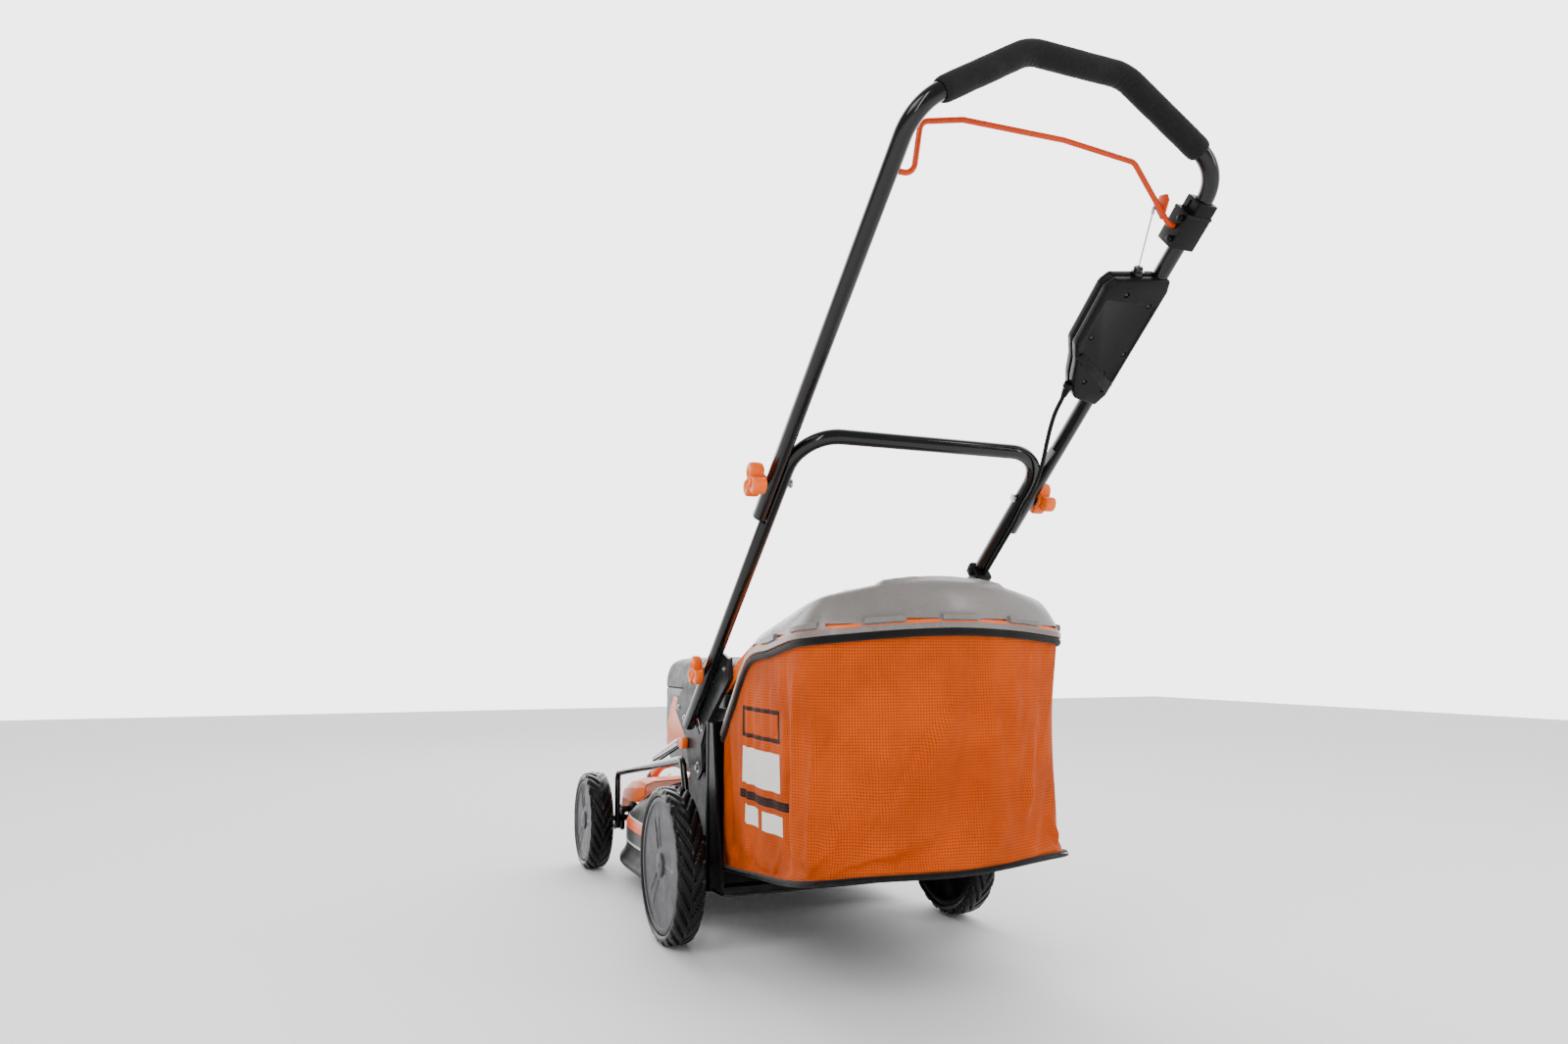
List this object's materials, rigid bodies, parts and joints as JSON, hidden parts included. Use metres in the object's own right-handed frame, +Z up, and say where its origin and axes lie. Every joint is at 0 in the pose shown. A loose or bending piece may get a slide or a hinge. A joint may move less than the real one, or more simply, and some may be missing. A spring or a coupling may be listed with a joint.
{
  "type": "rotary lawn mower",
  "caption": "Cordless push rotary mower with folding tube handle, bail, height crank gear, motor hood and rear cloth grass bag.",
  "frame": {"origin": "centre of the whole mower's outline on the ground, under the deck", "axes": "+X the mower's right side, +Y the direction of travel, +Z up"},
  "size_m": [0.4996, 1.3145, 1.0222],
  "materials": {
    "tyre": "matte ribbed rubber",
    "wheel": "black moulded plastic",
    "hubcap": "grey-violet satin plastic",
    "deck": "black textured plastic",
    "grey_hood": "grey textured plastic",
    "dark_lid": "dark grey satin plastic",
    "orange_plastic": "orange semi-gloss plastic",
    "orange_paint": "orange powder coat on wire",
    "black_paint": "gloss black powder coat",
    "bracket_steel": "dark grey painted sheet steel",
    "black_plastic": "black satin plastic",
    "foam": "closed-cell foam",
    "cable": "black cable sheath",
    "steel": "zinc-plated steel",
    "chrome": "bright plated spring",
    "lid_grey": "light warm grey semi-gloss plastic",
    "orange_cloth": "orange woven mesh cloth",
    "board": "green circuit board"
  },
  "bodies": {
    "chassis": {"deck_shell": "deck", "front_shroud": "orange_plastic", "rear_frame": "black_plastic", "flap_rod": "steel", "handle_bracket_left": "bracket_steel", "handle_bracket_right": "bracket_steel", "hood_body": "grey_hood", "hood_panel_left": "orange_plastic", "hood_panel_right": "orange_plastic", "motor_can": "black_plastic", "battery_pack": "black_plastic", "safety_key": "orange_plastic", "motor_controller": "board", "carry_handle": "orange_plastic", "assist_spring": "chrome", "height_quadrant": "steel", "cable_hood": "cable"},
    "rear_axle_crank": {"rear_axle": "steel", "height_lever": "black_paint"},
    "front_axle_crank": {"front_axle": "steel"},
    "height_link": {"height_link_bar": "black_paint"},
    "wheel_rear_left": {"rear_left_tyre": "tyre", "rear_left_wheel_disc": "wheel", "rear_left_hubcap": "hubcap"},
    "wheel_rear_right": {"rear_right_tyre": "tyre", "rear_right_wheel_disc": "wheel", "rear_right_hubcap": "hubcap"},
    "wheel_front_left": {"front_left_tyre": "tyre", "front_left_wheel_disc": "wheel", "front_left_hubcap": "hubcap"},
    "wheel_front_right": {"front_right_tyre": "tyre", "front_right_wheel_disc": "wheel", "front_right_hubcap": "hubcap"},
    "rotor": {"motor_rotor": "steel", "blade_adapter": "black_paint", "blade_bolt": "steel", "blade": "steel"},
    "battery_door": {"battery_lid": "dark_lid"},
    "flap": {"rear_flap": "orange_plastic"},
    "grass_bag": {"bag_cloth": "orange_cloth", "bag_tray": "black_plastic", "bag_lid": "lid_grey", "bag_frame": "steel"},
    "handle_lower": {"lower_handle": "black_paint", "cable_clip": "black_plastic", "cable_lower": "cable"},
    "tilt_nut_left": {"tilt_knob_left": "orange_plastic"},
    "tilt_nut_right": {"tilt_knob_right": "orange_plastic"},
    "handle_upper": {"upper_handle": "black_paint", "handle_grip": "foam", "switch_box_back": "black_plastic", "switch_box_front": "black_plastic", "microswitch": "black_plastic", "bail_mount": "black_plastic", "cable_upper": "cable"},
    "fold_nut_left": {"fold_knob_left": "orange_plastic"},
    "fold_nut_right": {"fold_knob_right": "orange_plastic"},
    "bail_lever": {"bail": "orange_paint"},
    "bail_wire": {"pull_wire": "steel"},
    "button": {"start_button": "orange_plastic"}
  },
  "joints": [
    {"name": "rear_height", "type": "hinge", "parent": "chassis", "child": "rear_axle_crank", "pos_m": [0, 0.0631, 0.1317], "axis": [1, 0, 0], "range_deg": [-20, 28]},
    {"name": "front_height", "type": "hinge", "parent": "chassis", "child": "front_axle_crank", "pos_m": [0, 0.5208, 0.112], "axis": [1, 0, 0], "range_deg": [-28, 20]},
    {"name": "link_travel", "type": "slide", "parent": "chassis", "child": "height_link", "axis": [0, 1, 0], "range_m": [-0.015, 0.011]},
    {"name": "spin_rear_left", "type": "hinge", "parent": "rear_axle_crank", "child": "wheel_rear_left", "pos_m": [-0.2296, 0.0158, 0.1085], "axis": [1, 0, 0], "continuous": true},
    {"name": "spin_rear_right", "type": "hinge", "parent": "rear_axle_crank", "child": "wheel_rear_right", "pos_m": [0.2296, 0.0158, 0.1085], "axis": [1, 0, 0], "continuous": true},
    {"name": "spin_front_left", "type": "hinge", "parent": "front_axle_crank", "child": "wheel_front_left", "pos_m": [-0.2264, 0.5681, 0.0888], "axis": [1, 0, 0], "continuous": true},
    {"name": "spin_front_right", "type": "hinge", "parent": "front_axle_crank", "child": "wheel_front_right", "pos_m": [0.2264, 0.5681, 0.0888], "axis": [1, 0, 0], "continuous": true},
    {"name": "blade_spin", "type": "hinge", "parent": "chassis", "child": "rotor", "pos_m": [0, 0.3458, 0.07], "axis": [0, 0, 1], "continuous": true},
    {"name": "battery_door_hinge", "type": "hinge", "parent": "chassis", "child": "battery_door", "pos_m": [0, 0.0813, 0.3431], "axis": [-1, 0, 0], "range_deg": [-70, 0]},
    {"name": "flap_hinge", "type": "hinge", "parent": "chassis", "child": "flap", "pos_m": [0, 0.0178, 0.358], "axis": [-1, 0, 0], "range_deg": [0, 50], "stiffness_Nm_per_rad": 0.15, "springref_deg": -34.38},
    {"name": "bag_slide", "type": "slide", "parent": "chassis", "child": "grass_bag", "axis": [0, -1, 0], "range_m": [0, 0.35]},
    {"name": "handle_tilt", "type": "hinge", "parent": "chassis", "child": "handle_lower", "pos_m": [0, 0.0089, 0.3795], "axis": [1, 0, 0], "range_deg": [-48, 8], "deforming": ["cable_hood"]},
    {"name": "tilt_knob_turn_left", "type": "hinge", "parent": "handle_lower", "child": "tilt_nut_left", "pos_m": [-0.2, 0.0089, 0.3795], "axis": [1, 0, 0], "continuous": true},
    {"name": "tilt_knob_turn_right", "type": "hinge", "parent": "handle_lower", "child": "tilt_nut_right", "pos_m": [0.2, 0.0089, 0.3795], "axis": [1, 0, 0], "continuous": true},
    {"name": "handle_fold", "type": "hinge", "parent": "handle_lower", "child": "handle_upper", "pos_m": [0, -0.27427, 0.61798], "axis": [-1, 0, 0], "range_deg": [-90, 140], "deforming": ["cable_upper"]},
    {"name": "fold_knob_turn_left", "type": "hinge", "parent": "handle_upper", "child": "fold_nut_left", "pos_m": [-0.2, -0.27427, 0.61798], "axis": [1, 0, 0], "continuous": true},
    {"name": "fold_knob_turn_right", "type": "hinge", "parent": "handle_upper", "child": "fold_nut_right", "pos_m": [0.2, -0.27427, 0.61798], "axis": [1, 0, 0], "continuous": true},
    {"name": "bail_pull", "type": "hinge", "parent": "handle_upper", "child": "bail_lever", "pos_m": [0, -0.58994, 0.88384], "axis": [1, 0, 0], "range_deg": [0, 26], "stiffness_Nm_per_rad": 1, "springref_deg": -22.92},
    {"name": "wire_pull", "type": "slide", "parent": "handle_upper", "child": "bail_wire", "axis": [-0.1645, -0.6007, 0.7824], "range_m": [0, 0.012]},
    {"name": "button_press", "type": "slide", "parent": "handle_upper", "child": "button", "axis": [0, -0.6442, -0.7649], "range_m": [0, 0.0035], "stiffness_N_per_m": 300, "springref_m": -0.002}
  ],
  "couplings": [
    {"joint": "front_height", "follows": "rear_height", "ratio": -1},
    {"joint": "link_travel", "follows": "rear_height", "m_per_rad": -0.0295},
    {"joint": "wire_pull", "follows": "bail_pull", "m_per_rad": 0.021}
  ]
}
